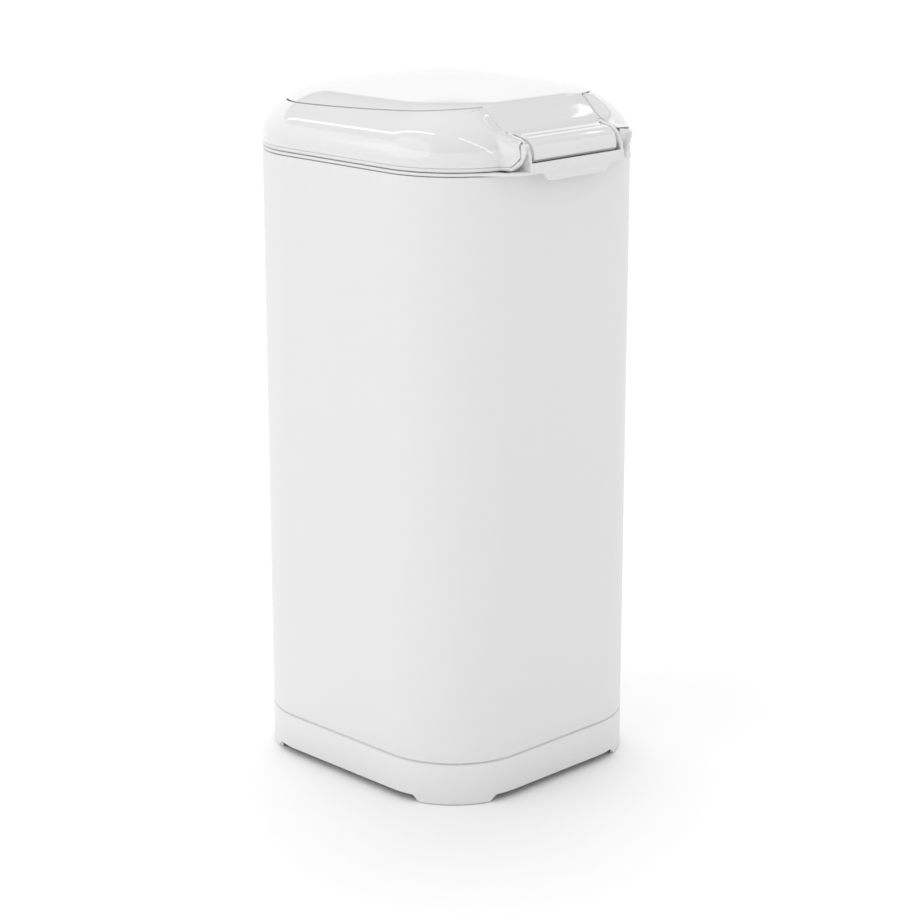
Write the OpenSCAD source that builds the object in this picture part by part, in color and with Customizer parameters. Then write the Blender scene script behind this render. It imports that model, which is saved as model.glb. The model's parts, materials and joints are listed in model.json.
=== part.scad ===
/* [Body] */
// Width of the bin across its sides
body_w = 246; // [230:1:270]
// Depth of the bin from front to rear, without pedal and hinge ledge
body_d = 266; // [250:1:290]
// Radius of the four upright corners
corner_r = 72; // [60:1:80]
// Sheet thickness of the body shell
shell_t = 1.2; // [0.8:0.1:2]
// Height of the line between body and head
body_top = 520; // [480:1:560]
// Width of the turned-in flange at the foot of the body shell
flange_w = 16; // [14:1:22]
// Height of the shadow grooves between body, plinth and head
groove = 0.8; // [0.5:0.1:1.2]

/* [Plinth] */
// Height of the plinth
plinth_h = 36; // [34:1:40]
// Wall thickness of the plinth and of the head mouldings
wall = 2.4; // [1.8:0.1:3]
// Thickness of the deck that closes the body at the bottom
deck_t = 3; // [2:0.5:4]
// Height of the relieved edges between the corner feet
arch_h = 6; // [4:0.5:8]
// Length of each side edge that is relieved
side_arch_l = 176; // [140:2:190]
// Length of the rear edge that is relieved
rear_arch_l = 152; // [120:2:160]
// Diameter of the rubber feet
foot_d = 18; // [14:1:24]
// How far the rubber feet stand proud of the plinth
foot_proud = 0.6; // [0.4:0.1:1.5]

/* [Pedal] */
// Width of the tread
pad_w = 72; // [60:1:84]
// How far the tread stands out of the front
pad_out = 16.7; // [12:0.1:24]
// Thickness of the tread
pad_t = 9; // [8:0.5:10]
// Width of the lever channel
lever_w = 40; // [30:1:50]
// Sheet thickness of the lever
lever_t = 2; // [1.5:0.5:3]
// Position of the lever pivot behind the bin's middle, negative is forward
pivot_y = -20; // [-40:1:0]
// Height of the lever pivot
pivot_z = 19; // [18.5:0.1:19.5]
// Diameter of the lever pivot pin
pivot_d = 5; // [4:0.5:6]
// Size of the push rod across and along the depth
rod_size = [8, 5]; // [4:0.5:10]

/* [Lid] */
// Height of the lid's crown above the body
lid_h = 64.5; // [58:0.5:72]
// Height of the dome above the lid's shoulder
dome_rise = 24; // [18:0.5:30]
// Height of the shoulder's curve
shoulder_drop = 27.5; // [22:0.5:32]
// Width of the shoulder's curve
shoulder_w = 37; // [30:0.5:45]
// Thickness of the gloss shells
shell_wall = 2.2; // [1.8:0.1:3]
// Angle to which the lid opens
lid_open = 78; // [60:1:80]
// Diameter of the hinge pins
hinge_d = 3.2; // [2.6:0.2:4]
// Position of the lid hinge behind the bin's middle, without body depth
hinge_in = 3; // [2:0.5:4]
// Height of the lid hinge above the head's line
hinge_up = 22; // [21:0.5:23]

/* [Head] */
// Height of the visible band of the collar
band_h = 2.2; // [1.5:0.1:3]
// How far the hinge ledge stands out of the rear
ledge_out = 15.5; // [14:0.5:17]
// Height of the ledge's rear wall
ledge_h = 9; // [8:0.5:10]
// Half width of the hinge barrel
barrel_half = 48; // [44:0.5:49]
// Distance from the middle to the inner face of a hinge ear
ear_x = 51; // [50:0.5:52]
// Thickness of a hinge ear
ear_t = 3; // [2.5:0.5:4]
// Radius of a hinge ear
ear_r = 20; // [19:0.5:21]
// Depth of the finger lip below the ledge
lip_h = 7; // [5:0.5:9]
// Inner radius of the throat
throat_r = 60.5; // [54:0.5:64]
// Outer radius of the film cassette
cassette_r = 92; // [86:0.5:94]
// Height of the film cassette
cassette_h = 42; // [34:1:50]
// Angle to which the trap flaps drop
flap_open = 70; // [50:1:75]
// Diameter of the flap pins
flap_pin_d = 3; // [2.6:0.2:4]

/* [Hidden] */

// Clearances: seats between bodies, running fits, and half a screw's play
hair = 0.3;
run = 0.05;
play = 0.15;

// Smoothness of round parts
fine = 96;
small = 32;

half_w = body_w / 2;
half_d = body_d / 2;

// Levels of the head and lid
lid_top = body_top + lid_h;
band_z = body_top + groove / 2;
band_top = band_z + band_h;
trough_z = body_top + 1.6;
rim_z = body_top + 4;
rim_h = 2.4;
skirt_z = rim_z + rim_h + 0.2;
shoulder_z = lid_top - dome_rise - shoulder_drop;
pan_z = body_top + 11;
pan_t = 2;

// The hinge axis, and the linkage from the pedal to the lid
hinge_y = half_d - hinge_in;
hinge_z = body_top + hinge_up;
lug_r = 18;
lug_end = 3;
rod_y = hinge_y - lug_r * cos(lid_open / 2);
lug_z = hinge_z - lug_r * sin(lid_open / 2);
lift = 2 * lug_r * sin(lid_open / 2);
rear_arm = rod_y - pivot_y;
lever_swing = 2 * asin(lift / 2 / rear_arm);
lug_gap = 0.7;
rod_top = lug_z - lug_end - lug_gap;
lever_top = 2;
lever_h = 6;
pad_y = -half_d - pad_out;
rod_foot_z = pivot_z - rear_arm * sin(lever_swing / 2) + lever_top / cos(lever_swing / 2) + hair;

// Rounded rectangle, inset from the body's outline
module outline(inset = 0) {
    w = body_w - 2 * inset;
    d = body_d - 2 * inset;
    r = corner_r - inset;
    square([w - 2 * r, d], center = true);
    square([w, d - 2 * r], center = true);
    for (x = [-1, 1], y = [-1, 1])
        translate([x * (w / 2 - r), y * (d / 2 - r)]) circle(r, $fn = fine);
}

module slab(inset, z0, z1) {
    translate([0, 0, z0]) linear_extrude(z1 - z0) outline(inset);
}

module band(inset, thickness, z0, z1) {
    translate([0, 0, z0]) linear_extrude(z1 - z0) difference() {
        outline(inset);
        outline(inset + thickness);
    }
}

module tube(outer, inner, z0, z1) {
    translate([0, 0, z0]) linear_extrude(z1 - z0) difference() {
        circle(outer, $fn = fine);
        circle(inner, $fn = fine);
    }
}

// Block between two corners
module block(low, high) {
    translate(low) cube(high - low);
}

// Plate that lies in the upright front-to-rear plane, from x0 to x1, drawn as [y, z]
module side_plate(x0, x1) {
    translate([x0, 0, 0]) rotate([90, 0, 90]) linear_extrude(x1 - x0) children();
}

// Cylinder along the width, centred on [y, z]
module cross_rod(x0, x1, y, z, d) {
    translate([x0, y, z]) rotate([0, 90, 0]) cylinder(h = x1 - x0, d = d, $fn = small);
}

// ---- Casing ----

screw_d = 4;
screw_l = 13;
screw_spots = [for (x = [-1, 1]) each [
    [x * 60, half_d - 9], [x * 60, 9 - half_d], [x * (half_w - 9), 0]]];
foot_spots = [for (x = [-1, 1], y = [-1, 1])
    [x * (half_w - 37), y * (half_d - 37)]];
bracket_x = lever_w / 2 + lever_t;
bracket_t = 4;
notch_top = plinth_h - 4.5;
hem_w = 5;
rib_t = 2;

// Opening along one edge, with slanted ends
module edge_arch(length, depth) {
    translate([0, depth / 2, 0]) rotate([90, 0, 0]) linear_extrude(depth)
        polygon([[-length / 2, -1], [length / 2, -1], [length / 2, foot_proud],
            [length / 2 - arch_h, arch_h], [arch_h - length / 2, arch_h], [-length / 2, foot_proud]]);
}

module deck_rib(x0, y0, x1, y1) {
    rib_z = plinth_h - deck_t - 9;
    block([min(x0, x1) - rib_t / 2, min(y0, y1) - rib_t / 2, rib_z],
        [max(x0, x1) + rib_t / 2, max(y0, y1) + rib_t / 2, plinth_h - deck_t + 0.5]);
}

module base_plinth() {
    deck_z = plinth_h - deck_t;
    rib_x = half_w - 70;
    color("white") difference() {
        union() {
            band(0, wall, foot_proud, plinth_h - groove);
            slab(shell_t + play, deck_z, plinth_h);
            band(flange_w + play, wall, plinth_h - 1, plinth_h + 9);
            for (s = [-1, 1]) {
                deck_rib(s * rib_x, -half_d + wall, s * rib_x, half_d - wall);
                deck_rib(s * (bracket_x + bracket_t), s * 0 + 60, s * (half_w - wall), 60);
                deck_rib(s * (bracket_x + bracket_t), -70, s * (half_w - wall), -70);
                x0 = s * (bracket_x + bracket_t / 2);
                side_plate(x0 - bracket_t / 2, x0 + bracket_t / 2) {
                    translate([pivot_y, pivot_z]) circle(7, $fn = small);
                    translate([pivot_y - 7, pivot_z]) square([14, deck_z - pivot_z + 0.5]);
                }
            }
            for (p = foot_spots)
                translate([p.x, p.y, foot_proud]) cylinder(h = deck_z, d = foot_d + 2 * wall, $fn = fine);
            for (p = screw_spots)
                translate([p.x, p.y, deck_z - 4]) cylinder(h = 5, d = screw_d + 5, $fn = small);
        }
        block([-pad_w / 2 - 2, -half_d - 5, -1], [pad_w / 2 + 2, -half_d + 14, notch_top]);
        for (s = [-1, 1]) translate([s * (half_w - wall), 0, 0]) rotate([0, 0, 90])
            edge_arch(side_arch_l, 3 * wall);
        translate([0, half_d - wall, 0]) edge_arch(rear_arch_l, 3 * wall);
        for (p = foot_spots)
            translate([p.x, p.y, -1]) cylinder(h = foot_proud + 3, d = foot_d + 2 * play, $fn = fine);
        for (p = screw_spots)
            translate([p.x, p.y, 0]) cylinder(h = plinth_h + 1, d = screw_d + 2 * play, $fn = small);
        cross_rod(-bracket_x - bracket_t - 1, bracket_x + bracket_t + 1, pivot_y, pivot_z, pivot_d);
        block([-rod_size.x / 2 - 0.6, rod_y - rod_size.y / 2 - 0.6, deck_z - 10],
            [rod_size.x / 2 + 0.6, rod_y + rod_size.y / 2 + 0.6, plinth_h + 10]);
    }
}

module body_shell() {
    color("white") difference() {
        union() {
            band(0, shell_t, plinth_h, body_top - groove / 2);
            band(shell_t / 2, flange_w - shell_t / 2, plinth_h, plinth_h + shell_t);
            band(shell_t / 2, hem_w - shell_t / 2, body_top - groove / 2 - shell_t, body_top - groove / 2);
        }
        for (p = screw_spots)
            translate([p.x, p.y, plinth_h - 1]) cylinder(h = 4, d = screw_d, $fn = small);
        for (z = guide_levels, x = [-1, 1]) rivet_place(x, z, rivet_d);
        block([-rod_size.x / 2 - 1, rod_y - rod_size.y, plinth_h - 1],
            [rod_size.x / 2 + 1, rod_y + rod_size.y / 2 + 1, plinth_h + 2 * shell_t]);
    }
}

module rubber_feet() {
    color("dimgray") for (p = foot_spots)
        translate([p.x, p.y, 0]) rotate_extrude($fn = fine)
            polygon([[0, 0], [foot_d / 2 - 0.5, 0], [foot_d / 2, 0.5], [foot_d / 2, foot_proud + 2],
                [0, foot_proud + 2]]);
}

// Pan-head screw that points up, its head below
module screw(d, length) {
    translate([0, 0, -0.6 * d]) cylinder(h = 0.6 * d, d = 1.8 * d, $fn = small);
    translate([0, 0, -0.01]) cylinder(h = length, d = d, $fn = small);
}

module base_screws() {
    color("silver") for (p = screw_spots)
        translate([p.x, p.y, plinth_h - deck_t - 4]) screw(screw_d, screw_l);
}

module pedal_pivot_pin() {
    color("silver") cross_rod(-bracket_x - bracket_t - 1.5, bracket_x + bracket_t + 1.5,
        pivot_y, pivot_z, pivot_d);
}

spring_y = 62;
spring_base = pivot_z - (spring_y - pivot_y) * sin(lever_swing / 2) + lever_top + 0.8;

// Coil spring along +Z with closed rings at both ends
module coil(radius, wire, z0, z1, turns) {
    sides = 6;
    steps = 12;
    path = [for (i = [0:turns * steps]) let(a = 360 * i / steps)
        [radius * cos(a), radius * sin(a), lerp(z0 + wire / 2, z1 - wire / 2, i / (turns * steps))]];
    points = [for (i = [0:len(path) - 1], k = [0:sides - 1])
        let(a = 360 * i / steps, b = 360 * k / sides, rr = radius + wire / 2 * cos(b))
        [rr * cos(a), rr * sin(a), path[i].z + wire / 2 * sin(b)]];
    n = len(path) - 1;
    walls = [for (i = [0:n - 1], k = [0:sides - 1]) let(k2 = (k + 1) % sides)
        [i * sides + k, i * sides + k2, (i + 1) * sides + k2, (i + 1) * sides + k]];
    polyhedron(points, concat(walls, [[for (k = [sides - 1:-1:0]) k]],
        [[for (k = [0:sides - 1]) n * sides + k]]));
}

module pedal_spring() {
    color("silver") translate([0, spring_y, 0])
        coil(6, 1.2, spring_base, plinth_h - deck_t - hair, 4);
}

guide_h = 14;
guide_w = 34;
rivet_d = 3;
rivet_x = 12;
guide_drop = 80;
top_guide = body_top - guide_drop;
guide_levels = [for (k = [1:3]) lerp(plinth_h, top_guide, k / 3)];

module rivet_place(side, z, d) {
    translate([side * rivet_x, half_d + 1, z]) rotate([90, 0, 0]) cylinder(h = shell_t + 4, d = d, $fn = small);
}

module rod_guides() {
    inner_y = half_d - shell_t;
    color("gainsboro") for (z = guide_levels) difference() {
        union() {
            block([-guide_w / 2, inner_y - 2, z - guide_h / 2], [guide_w / 2, inner_y, z + guide_h / 2]);
            block([-rod_size.x / 2 - 2.6, rod_y - rod_size.y / 2 - 2.6, z - guide_h / 2],
                [rod_size.x / 2 + 2.6, inner_y, z + guide_h / 2]);
        }
        block([-rod_size.x / 2 - hair, rod_y - rod_size.y / 2 - hair, z - guide_h],
            [rod_size.x / 2 + hair, rod_y + rod_size.y / 2 + hair, z + guide_h]);
        for (x = [-1, 1]) rivet_place(x, z, rivet_d);
    }
}

module guide_rivets() {
    inner_y = half_d - shell_t;
    color("silver") for (z = guide_levels, x = [-1, 1])
        translate([x * rivet_x, half_d - 0.1, z]) rotate([90, 0, 0]) {
            cylinder(h = shell_t + 2, d = rivet_d, $fn = small);
            translate([0, 0, shell_t + 2 - 0.1]) cylinder(h = 1.3, d = 6, $fn = small);
        }
}

// ---- Pedal and push rod ----

// Turns a part drawn level about the lever's pivot into its place at rest, tread up
module lever_rest() {
    translate([0, pivot_y, pivot_z]) rotate([-lever_swing / 2, 0, 0]) children();
}

front_arm = pivot_y - pad_y;
tread_drop = 3;
tread_l = 26;

module lever_side() {
    polygon([[rear_arm + 8, lever_top], [rear_arm + 8, lever_top - 3], [rear_arm - 10, lever_top - lever_h],
        [tread_l - front_arm + 12, lever_top - lever_h],
        [tread_l - front_arm, lever_top - lever_h - tread_drop + 1],
        [4 - front_arm, lever_top - lever_h - tread_drop + 1], [4 - front_arm, lever_top - tread_drop],
        [tread_l - front_arm, lever_top - tread_drop], [tread_l - front_arm + 12, lever_top]]);
}

module pedal_lever() {
    inner = lever_w / 2 - lever_t;
    color("silver") lever_rest() difference() {
        union() {
            side_plate(-lever_w / 2, lever_w / 2) lever_side();
            for (s = [-1, 1])
                cross_rod(min(s * inner, s * lever_w / 2), max(s * inner, s * lever_w / 2), 0, 0, 11);
        }
        side_plate(-inner, inner) translate([0, -lever_t]) lever_side();
        cross_rod(-inner, inner, 0, 0, 11.2);
        cross_rod(-lever_w, lever_w, 0, 0, pivot_d + 2 * run);
    }
}

module pedal_pad() {
    low = lever_top - tread_drop + 2 - pad_t;
    color("whitesmoke") lever_rest() difference() {
        intersection() {
            translate([0, 0, low]) linear_extrude(pad_t) {
                r = 8;
                for (s = [-1, 1]) translate([s * (pad_w / 2 - r), r - front_arm]) circle(r, $fn = small);
                translate([-pad_w / 2 + r, -front_arm]) square([pad_w - 2 * r, tread_l]);
                translate([-pad_w / 2, r - front_arm]) square([pad_w, tread_l - r]);
            }
            side_plate(-pad_w, pad_w) {
                r = 4;
                translate([r - front_arm, low + pad_t - r]) circle(r, $fn = small);
                translate([-front_arm, low]) square([tread_l, pad_t - r]);
                translate([r - front_arm, low]) square([tread_l - r, pad_t]);
            }
        }
        side_plate(-lever_w / 2 - play, lever_w / 2 + play) polygon([
            [4 - play - front_arm, low - 1], [tread_l + 1 - front_arm, low - 1],
            [tread_l + 1 - front_arm, lever_top - tread_drop + play],
            [4 - play - front_arm, lever_top - tread_drop + play]]);
        for (k = [0:3]) block([8 - pad_w / 2, 4.2 + 4 * k - front_arm, low + pad_t - 0.6],
            [pad_w / 2 - 8, 5.4 + 4 * k - front_arm, low + pad_t + 1]);
    }
}

module push_rod() {
    color("silver") block([-rod_size.x / 2, rod_y - rod_size.y / 2, rod_foot_z + 2.5],
        [rod_size.x / 2, rod_y + rod_size.y / 2, rod_top - 2]);
}

module rod_foot() {
    color("gainsboro") difference() {
        translate([-rod_size.x / 2 - 0.4, rod_y, rod_foot_z + 3]) rotate([0, 90, 0])
            cylinder(h = rod_size.x + 0.8, d = 6, $fn = small);
        block([-rod_size.x, rod_y - 4, rod_foot_z + 2.5], [rod_size.x, rod_y + 4, rod_foot_z + 10]);
    }
}

head_pad = 6.5;

module rod_head() {
    color("gainsboro") difference() {
        block([-6, rod_y + 0.5 - head_pad, rod_top - 7], [6, rod_y + 0.5, rod_top]);
        block([-rod_size.x / 2, rod_y - rod_size.y / 2, rod_top - 8],
            [rod_size.x / 2, rod_y + rod_size.y / 2, rod_top - 2]);
    }
}

// ---- Head ----

rear_y = half_d + ledge_out;
flare_end = 38;
ear_y = hinge_y - 2.7;
ear_z = body_top + 9;
seat_r = cassette_r + 1.2;
seat_t = 2.2;
seat_floor = band_z - 6 - cassette_h;
chute_h = 20;
rim_bead = 3;
seal_in = shell_t + 0.6;
seal_w = 3;
seal_deep = 0.6;

// Rear edge of the collar: flat ledge, then a smooth run into the corner
function corner_edge(x) = let(c = half_w - corner_r, u = max(x - c, 0))
    half_d - corner_r + sqrt(corner_r * corner_r - u * u);
function collar_edge(x) = let(e = ear_x + ear_t)
    x < e ? rear_y : lerp(rear_y, corner_edge(x) - 0.5, smooth((x - e) / flare_end));

module ledge_plan() {
    end = ear_x + ear_t + flare_end;
    half = [for (x = [ear_x + ear_t:3:end]) [x, collar_edge(x)]];
    polygon(concat([[-end, half_d - 40], [end, half_d - 40]],
        [for (i = [len(half) - 1:-1:0]) half[i]],
        [for (p = half) [-p.x, p.y]]));
}

// Round ear whose shoulder fills up to the rear panel's line
module ear_plan() {
    translate([ear_y, ear_z]) circle(ear_r, $fn = fine);
    line = [for (t = [0.6:0.05:1]) bezier(panel_curve, t)];
    intersection() {
        translate([hinge_y, hinge_z]) circle(slot_r, $fn = fine);
        polygon(concat([[hinge_y, hinge_z - slot_r]], [[hinge_y - slot_r, hinge_z]], line));
    }
}

module lip_plan() {
    top = 39;
    r = 5;
    for (s = [-1, 1]) translate([s * (top - 2 - r), r - lip_h]) circle(r, $fn = small);
    translate([-top + 2 + r, -lip_h]) square([2 * (top - 2 - r), lip_h]);
    polygon([[-top, 0], [top, 0], [top - 2, r - lip_h], [2 - top, r - lip_h]]);
}

module collar() {
    trough_half = seam_x + flare_reach + 0.6;
    trough_d = sqrt(pow(cheek_r + hair + 0.2, 2) - pow(hinge_z - band_top, 2)) + 1;
    color("white") difference() {
        union() {
            slab(0, band_z, band_top);
            band(hem_w + hair + 0.2, wall, band_z - 14, band_z + 0.5);
            tube(seat_r + rim_bead, seat_r, band_z, band_top + 3.4);
            translate([0, 0, band_z]) linear_extrude(band_top - band_z) ledge_plan();
            block([-ear_x - ear_t, rear_y - 1.8, band_z], [ear_x + ear_t, rear_y, body_top + ledge_h]);
            for (s = [-1, 1]) intersection() {
                side_plate(min(s * ear_x, s * (ear_x + ear_t)), max(s * ear_x, s * (ear_x + ear_t)))
                    ear_plan();
                block([-half_w, 0, band_z], [half_w, rear_y, hinge_z + 30]);
            }
            translate([0, rear_y - 0.8, band_z + 0.1]) rotate([90, 0, 0])
                linear_extrude(1.8) lip_plan();
        }
        band(seal_in, seal_w, band_z - 1, band_z + seal_deep);
        translate([0, 0, band_z - 20]) cylinder(h = 40, r = seat_r, $fn = fine);
        for (s = [-1, 1]) translate([s * (ear_x + ear_t + trough_half) / 2, hinge_y, trough_z + 5])
            cube([trough_half - ear_x - ear_t, 2 * trough_d, 10], center = true);
        block([-ear_x, hinge_y - ear_r - 2, trough_z], [ear_x, rear_y - 1.8, band_top + 1]);
        block([-8, rod_y - head_pad - 2, band_z - 5], [8, rod_y + 5, band_top + 5]);
        cross_rod(-ear_x - ear_t - 1, ear_x + ear_t + 1, hinge_y, hinge_z, hinge_d);
        for (p = seat_screw_spots) translate([p.x, p.y, band_z - 3])
            cylinder(h = 4.2, d = screw_d - 1, $fn = small);
    }
}

module body_seal() {
    color("gainsboro") band(seal_in, seal_w, body_top - groove / 2 + hair, band_z + seal_deep);
}

seat_screw_spots = [for (a = [45:90:315]) [(seat_r + 8) * cos(a), (seat_r + 8) * sin(a)]];
bracket_y = 20;
flap_t = 2.4;
flap_pin_x = throat_r + 3.5;
flap_z = seat_floor - chute_h - 1.2 - hair - flap_t;
flap_pin_z = flap_z - 1.2;

module cassette_seat() {
    color("gainsboro") difference() {
        union() {
            tube(seat_r + 0.2 + seat_t, seat_r + 0.2, seat_floor - seat_t, band_z);
            tube(seat_r + 14, seat_r + 1, band_z - 2.2, band_z);
            tube(seat_r + 1, throat_r, seat_floor - seat_t, seat_floor);
            tube(throat_r + seat_t, throat_r, seat_floor - chute_h, seat_floor);
            for (x = [-1, 1], y = [-1, 1]) {
                y0 = y * (bracket_y + 2);
                translate([x * flap_pin_x, y0 + 2, 0]) rotate([90, 0, 0]) linear_extrude(4) {
                    translate([0, flap_pin_z]) circle(4, $fn = small);
                    translate([-4, flap_pin_z]) square([8, seat_floor - seat_t - flap_pin_z + 0.5]);
                }
            }
        }
        for (x = [-1, 1]) translate([x * flap_pin_x, bracket_y + 5, flap_pin_z]) rotate([90, 0, 0])
            cylinder(h = 2 * bracket_y + 10, d = flap_pin_d, $fn = small);
        translate([0, 0, seat_floor - chute_h - 10]) cylinder(h = 60, r = throat_r, $fn = fine);
        for (p = seat_screw_spots) translate([p.x, p.y, band_z - 5])
            cylinder(h = 10, d = screw_d - 1 + 2 * play, $fn = small);
        block([-9, rod_y - head_pad - 1, band_z - 5], [9, rod_y + 10, band_z + 1]);
    }
}

module seat_screws() {
    color("silver") for (p = seat_screw_spots)
        translate([p.x, p.y, band_z - 2.2]) screw(screw_d - 1, 3.2);
}

module throat_seal() {
    color("gainsboro") tube(throat_r + seat_t + 0.6, throat_r, seat_floor - chute_h - 1.2,
        seat_floor - chute_h);
}

module flap_pins() {
    color("silver") for (x = [-1, 1])
        translate([x * flap_pin_x, bracket_y + 5, flap_pin_z]) rotate([90, 0, 0])
            cylinder(h = 2 * bracket_y + 10, d = flap_pin_d, $fn = small);
}

module hinge_pins() {
    color("silver") for (s = [-1, 1]) {
        a = s * (barrel_half - 4);
        b = s * (ear_x + ear_t + 4);
        cross_rod(min(a, b), max(a, b), hinge_y, hinge_z, hinge_d);
    }
}

case_t = 2;

module cassette_case() {
    color("lightskyblue") {
        tube(cassette_r, cassette_r - case_t, seat_floor, seat_floor + cassette_h);
        tube(throat_r + 3.5, throat_r + 1.5, seat_floor, seat_floor + cassette_h - 6);
        tube(cassette_r, throat_r + 1.5, seat_floor, seat_floor + case_t);
    }
}

module cassette_cap() {
    top = seat_floor + cassette_h;
    color("lightskyblue") {
        tube(cassette_r, throat_r + 6, top, top + 2);
        tube(cassette_r - case_t, cassette_r - case_t - 2, top - 4, top + 0.1);
        tube(throat_r + 8, throat_r + 6, top - 4, top + 0.1);
    }
}

module film_pack() {
    color("aliceblue") tube(cassette_r - case_t - 0.6, throat_r + 4.2, seat_floor + case_t,
        seat_floor + cassette_h - 6);
}

// Trap flap on the +X side
module flap() {
    plate_z = flap_z;
    difference() {
        union() {
            translate([0, 0, plate_z]) linear_extrude(flap_t) intersection() {
                circle(throat_r + 1.6, $fn = fine);
                translate([hair, -throat_r - 5]) square([throat_r + 0.6 - 8, 2 * throat_r + 10]);
            }
            translate([throat_r - 14, hair - bracket_y, plate_z])
                cube([17.5, 2 * bracket_y - 2 * hair, flap_t]);
            translate([flap_pin_x, bracket_y - hair, flap_pin_z]) rotate([90, 0, 0])
                cylinder(h = 2 * bracket_y - 2 * hair, d = flap_pin_d + 4, $fn = small);
            translate([4, -1.5, plate_z - 5]) cube([throat_r - 14, 3, 5.5]);
        }
        translate([flap_pin_x, bracket_y + 1, flap_pin_z]) rotate([90, 0, 0])
            cylinder(h = 2 * bracket_y + 2, d = flap_pin_d + 2 * run, $fn = small);
        translate([flap_pin_x - 5, -8, flap_pin_z - 6]) cube([12, 16, 14]);
    }
}

module flap_spring() {
    translate([flap_pin_x, 0, flap_pin_z]) rotate([90, 0, 0]) {
        coil(flap_pin_d / 2 + 1.1, 0.9, -6.5, 6.5, 7);
    }
    translate([flap_pin_x - 9, 6.05, flap_pin_z - 1.55]) rotate([0, 90, 0]) rotate([0, 0, 30])
        cylinder(h = 8, d = 0.9, $fn = 13);
}

module flap_right() {
    color("gainsboro") flap();
}

module flap_left() {
    color("gainsboro") rotate([0, 0, 180]) flap();
}

module flap_spring_right() {
    color("silver") flap_spring();
}

module flap_spring_left() {
    color("silver") rotate([0, 0, 180]) flap_spring();
}

// ---- Lid ----

function lerp(a, b, t) = a + (b - a) * t;
function smooth(t) = let(c = min(max(t, 0), 1)) c * c * (3 - 2 * c);

// The lid's surface is a family of rounded rectangles. s is how far each lies inside the outline.
function half_x(s) = half_w - s;
function half_y(s) = half_d - s - (half_d - half_w) * pow(s / half_w, 2);
function round_r(s) = let(t = s / half_w, k = corner_r / half_w)
    half_x(s) * (k - 0.35 * t + (1.35 - k) * t * t);
function shoulder(s) = s < shoulder_w
    ? shoulder_drop * pow(1 - pow(s / shoulder_w, 0.6), 1.57) : 0;
function dome_z(s) = lid_top - dome_rise * pow(1 - s / half_w, 1.5) - shoulder(s);
function slope(s) = s < 0.05 ? 40 : (dome_z(s + 0.05) - dome_z(s - 0.05)) / 0.1;

// Height of the groove between the skirt and the top cover
function groove_z(y) = lid_top - 21.8 + 0.04 * y + 0.00018 * y * y;

// Columns around the lid: rear edge, rear corner, side, front corner, front edge of the +X half
rear_n = 4;
corner_n = 12;
side_n = 4;
front_n = 3;
half_n = rear_n + 2 * corner_n + side_n + front_n;
panel_half = 56.5;
slot_half = 55;
slot_t = 0.66;
slot_back = 0.016;
slot_end = 0.76;
slot_r = 11.6;
cheek_out = 62;
cheek_r = 20;
seam_x = cheek_out + 0.4;
flare_out = 13;
flare_reach = 7;
flare_top = hinge_z + 1.5;
flare_fade = 7;
sweep_r = cheek_r - 2.6;
seam_s = 3.5;
ear_gap = 0.5;

// Where the skirt and the rear panel part, at the inset s
function part_x(s) = lerp(slot_half, panel_half, min(max((s - 12) / 20, 0), 1));

// Point c on the contour at inset s: [x, y, normal x, normal y]; e is the x where the corner begins
function contour(s, c, e) =
    let(a = half_x(s), b = half_y(s), r = round_r(s), cx = a - r, cy = b - r,
        from = asin(min(max((e - cx) / r, 0), 1)),
        k1 = c - rear_n, k2 = k1 - corner_n, k3 = k2 - side_n, k4 = k3 - corner_n)
    k1 < 0 ? let(x = e * c / rear_n, u = asin(min(max((x - cx) / r, 0), 1)))
            [x, cy + r * cos(u), sin(u), cos(u)]
    : k2 < 0 ? let(f = lerp(from, 90, pow(k1 / corner_n, 1.4))) [cx + r * sin(f), cy + r * cos(f), sin(f), cos(f)]
    : k3 <= 0 ? [a, cy * (1 - 2 * k2 / side_n), 1, 0]
    : k4 <= 0 ? let(f = 90 + 90 * k3 / corner_n) [cx + r * sin(f), r * cos(f) - cy, sin(f), cos(f)]
    : [cx * (1 - k4 / front_n), -b, 0, -1];

// Inset at which column c meets the groove, shifted by d in height
function groove_s(c, d, low = 5, high = 60, n = 18) = n == 0 ? (low + high) / 2
    : let(m = (low + high) / 2, p = contour(m, c, part_x(m)))
        dome_z(m) < groove_z(p.y) + d ? groove_s(c, d, m, high, n - 1) : groove_s(c, d, low, m, n - 1);

// Sweep of the rear panel and the hinge barrel in the front-to-rear plane
function bezier(p, t) = let(u = 1 - t)
    u * u * u * p[0] + 3 * u * u * t * p[1] + 3 * u * t * t * p[2] + t * t * t * p[3];
crease = [half_d - 33, lid_top - 15.9];
roll_z = hinge_z + 5.6;
panel_curve = [crease, [half_d - 21, lerp(roll_z, crease.y, 0.45)], [half_d - 12, lerp(roll_z, crease.y, 0.06)],
    [half_d, roll_z]];
barrel_curve = [[half_d, roll_z], [half_d + 7, hinge_z + 4.6], [half_d + 13, hinge_z + 2],
    [half_d + 13, hinge_z - 10.8]];
function rear_curve(t) = t < 1 ? bezier(panel_curve, t) : bezier(barrel_curve, t - 1);
function rear_normal(t) = let(d = rear_curve(min(t + 0.01, 2)) - rear_curve(t - 0.01))
    [-d.y, d.x] / norm(d);
function panel_z(y, low = 0, high = 1, n = 14) = n == 0 ? bezier(panel_curve, low).y
    : let(m = (low + high) / 2)
        bezier(panel_curve, m).x < y ? panel_z(y, m, high, n - 1) : panel_z(y, low, m, n - 1);

// The rear corners dip to meet the rear panel
function dip(x, y, s) = y < crease.x ? 0
    : (1 - smooth((abs(x) - slot_half) / 26)) * smooth((s - 4) / 8) * (dome_z(s) - panel_z(y));

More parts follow.
